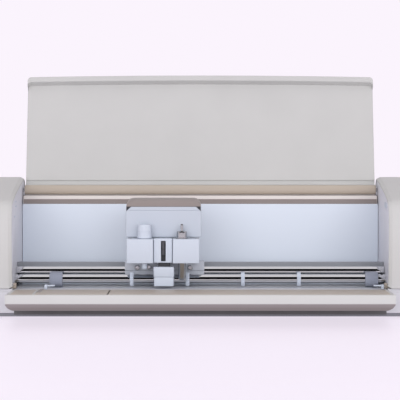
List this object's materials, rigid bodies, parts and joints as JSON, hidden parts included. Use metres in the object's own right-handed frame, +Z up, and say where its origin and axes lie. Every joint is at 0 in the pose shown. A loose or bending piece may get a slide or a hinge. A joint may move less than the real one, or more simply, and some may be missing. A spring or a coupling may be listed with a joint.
{
  "type": "vinyl cutter",
  "caption": "Desktop vinyl cutter: roller-fed platen, tool carriage on a chrome rod, rear-hinged lid and drop-down front door between two end housings.",
  "frame": {"origin": "centre of the footprint with the lid and the front door open, on the surface it stands on", "axes": "+X along the machine, +Z up, the front door faces -Y"},
  "size_m": [0.56, 0.2696, 0.2408],
  "materials": {
    "casing_plastic": "fine-textured warm grey moulding",
    "champagne_plastic": "satin champagne moulding",
    "base_plastic": "pale lilac moulding",
    "wall_plastic": "cool grey moulding",
    "panel_plastic": "smooth pale blue-grey moulding",
    "white_plastic": "satin white moulding",
    "dark_plastic": "black moulding",
    "dark_metal": "dark grey powder coat",
    "grey_rubber": "grey rubber",
    "black_rubber": "black rubber",
    "chrome_steel": "polished",
    "plain_steel": "plain",
    "aluminium": "machined",
    "board": "solder mask"
  },
  "bodies": {
    "machine": {"base_tray": "base_plastic", "foot_1": "black_rubber", "foot_2": "black_rubber", "foot_3": "black_rubber", "foot_4": "black_rubber", "left_housing": "casing_plastic", "right_housing": "casing_plastic", "left_inner_wall": "wall_plastic", "right_inner_wall": "wall_plastic", "back_panel": "panel_plastic", "rear_cover": "casing_plastic", "rear_bridge": "white_plastic", "carriage_beam": "dark_metal", "guide_rod": "chrome_steel", "platen_front": "panel_plastic", "platen_rear": "panel_plastic", "feed_motor": "plain_steel", "carriage_motor": "plain_steel", "carriage_belt": "black_rubber", "main_board": "board", "power_inlet": "dark_plastic", "data_port": "dark_plastic", "control_panel": "champagne_plastic", "lid_hinge_rod": "plain_steel", "door_hinge_rod": "plain_steel", "mat_guide_left": "white_plastic", "mat_guide_right": "white_plastic"},
    "lid": {"lid_shell": "casing_plastic", "lid_liner": "casing_plastic"},
    "door": {"door_shell": "casing_plastic", "door_panel_left": "champagne_plastic", "door_panel_right": "champagne_plastic"},
    "carriage": {"carriage_body": "white_plastic", "carriage_cover": "white_plastic", "carriage_cap": "champagne_plastic", "tool_guide": "white_plastic", "sensor_housing": "white_plastic"},
    "tool_a": {"clamp_a_holder": "white_plastic"},
    "lever_a": {"clamp_a_lever": "white_plastic"},
    "adapter": {"pen_adapter": "white_plastic"},
    "tool_b": {"clamp_b_holder": "white_plastic"},
    "lever_b": {"clamp_b_lever": "white_plastic"},
    "blade": {"blade_housing": "chrome_steel"},
    "plunger": {"blade_plunger": "plain_steel"},
    "drive": {"drive_roller": "grey_rubber", "feed_gear": "white_plastic"},
    "pinion": {"feed_pinion": "plain_steel"},
    "pinch": {"pinch_shaft": "chrome_steel", "pinch_wheel_left": "grey_rubber", "pinch_wheel_right": "grey_rubber"},
    "motor_pulley": {"motor_pulley": "aluminium"},
    "idler_pulley": {"idler_pulley": "aluminium"},
    "star_1": {"star_wheel_1": "white_plastic"},
    "star_2": {"star_wheel_2": "white_plastic"},
    "star_3": {"star_wheel_3": "white_plastic"},
    "star_4": {"star_wheel_4": "white_plastic"},
    "button_power": {"button_power": "white_plastic"},
    "button_pause": {"button_pause": "white_plastic"},
    "button_load": {"button_load": "white_plastic"},
    "button_go": {"button_go": "white_plastic"}
  },
  "joints": [
    {"name": "lid_hinge", "type": "hinge", "parent": "machine", "child": "lid", "pos_m": [0, 0.08376, 0.1203], "axis": [1, 0, 0], "range_deg": [0, 115.6]},
    {"name": "door_hinge", "type": "hinge", "parent": "machine", "child": "door", "pos_m": [0, -0.05024, 0.02], "axis": [-1, 0, 0], "range_deg": [0, 90]},
    {"name": "carriage_slide", "type": "slide", "parent": "machine", "child": "carriage", "axis": [1, 0, 0], "range_m": [-0.098, 0.172]},
    {"name": "motor_pulley_turn", "type": "hinge", "parent": "machine", "child": "motor_pulley", "pos_m": [0.2025, 0.01576, 0.0415], "axis": [0, 1, 0], "range_deg": [-900, 1560]},
    {"name": "idler_pulley_turn", "type": "hinge", "parent": "machine", "child": "idler_pulley", "pos_m": [-0.2025, 0.01576, 0.0415], "axis": [0, 1, 0], "range_deg": [-900, 1560]},
    {"name": "tool_a_lower", "type": "slide", "parent": "carriage", "child": "tool_a", "axis": [0, 0, -1], "range_m": [0, 0.0032], "stiffness_N_per_m": 200, "springref_m": -0.002},
    {"name": "tool_b_lower", "type": "slide", "parent": "carriage", "child": "tool_b", "axis": [0, 0, -1], "range_m": [0, 0.0032], "stiffness_N_per_m": 200, "springref_m": -0.002},
    {"name": "clamp_a_open", "type": "hinge", "parent": "tool_a", "child": "lever_a", "pos_m": [-0.0713, -0.03064, 0.065], "axis": [0, 0, 1], "range_deg": [0, 35]},
    {"name": "clamp_b_open", "type": "hinge", "parent": "tool_b", "child": "lever_b", "pos_m": [-0.003, -0.03064, 0.065], "axis": [0, 0, -1], "range_deg": [0, 35]},
    {"name": "adapter_lift_out", "type": "slide", "parent": "tool_a", "child": "adapter", "axis": [0, 0, 1], "range_m": [0, 0.014]},
    {"name": "blade_lift_out", "type": "slide", "parent": "tool_b", "child": "blade", "axis": [0, 0, 1], "range_m": [0, 0.014]},
    {"name": "plunger_press", "type": "slide", "parent": "blade", "child": "plunger", "axis": [0, 0, -1], "range_m": [0, 0.003], "stiffness_N_per_m": 300, "springref_m": -0.001},
    {"name": "drive_roll", "type": "hinge", "parent": "machine", "child": "drive", "pos_m": [0, -0.01374, 0.0209], "axis": [1, 0, 0], "continuous": true},
    {"name": "pinch_roll", "type": "hinge", "parent": "machine", "child": "pinch", "pos_m": [0, -0.01374, 0.0348], "axis": [1, 0, 0], "continuous": true},
    {"name": "pinion_turn", "type": "hinge", "parent": "machine", "child": "pinion", "pos_m": [0.196, -0.00294, 0.03377], "axis": [1, 0, 0], "continuous": true},
    {"name": "star_1_shift", "type": "slide", "parent": "pinch", "child": "star_1", "axis": [1, 0, 0], "range_m": [-0.02, 0.02]},
    {"name": "star_2_shift", "type": "slide", "parent": "pinch", "child": "star_2", "axis": [1, 0, 0], "range_m": [-0.02, 0.02]},
    {"name": "star_3_shift", "type": "slide", "parent": "pinch", "child": "star_3", "axis": [1, 0, 0], "range_m": [-0.02, 0.02]},
    {"name": "star_4_shift", "type": "slide", "parent": "pinch", "child": "star_4", "axis": [1, 0, 0], "range_m": [-0.02, 0.02]},
    {"name": "button_power_press", "type": "slide", "parent": "machine", "child": "button_power", "axis": [0, 0.1247, -0.9922], "range_m": [0, 0.001], "stiffness_N_per_m": 400, "springref_m": -0.0005},
    {"name": "button_pause_press", "type": "slide", "parent": "machine", "child": "button_pause", "axis": [0, 0.1247, -0.9922], "range_m": [0, 0.001], "stiffness_N_per_m": 400, "springref_m": -0.0005},
    {"name": "button_load_press", "type": "slide", "parent": "machine", "child": "button_load", "axis": [0, 0.1247, -0.9922], "range_m": [0, 0.001], "stiffness_N_per_m": 400, "springref_m": -0.0005},
    {"name": "button_go_press", "type": "slide", "parent": "machine", "child": "button_go", "axis": [0, 0.1247, -0.9922], "range_m": [0, 0.001], "stiffness_N_per_m": 400, "springref_m": -0.0005}
  ],
  "couplings": [
    {"joint": "motor_pulley_turn", "follows": "carriage_slide", "rad_per_m": 153.85},
    {"joint": "idler_pulley_turn", "follows": "carriage_slide", "rad_per_m": 153.85},
    {"joint": "pinch_roll", "follows": "drive_roll", "ratio": -0.7742},
    {"joint": "pinion_turn", "follows": "drive_roll", "ratio": -3}
  ]
}
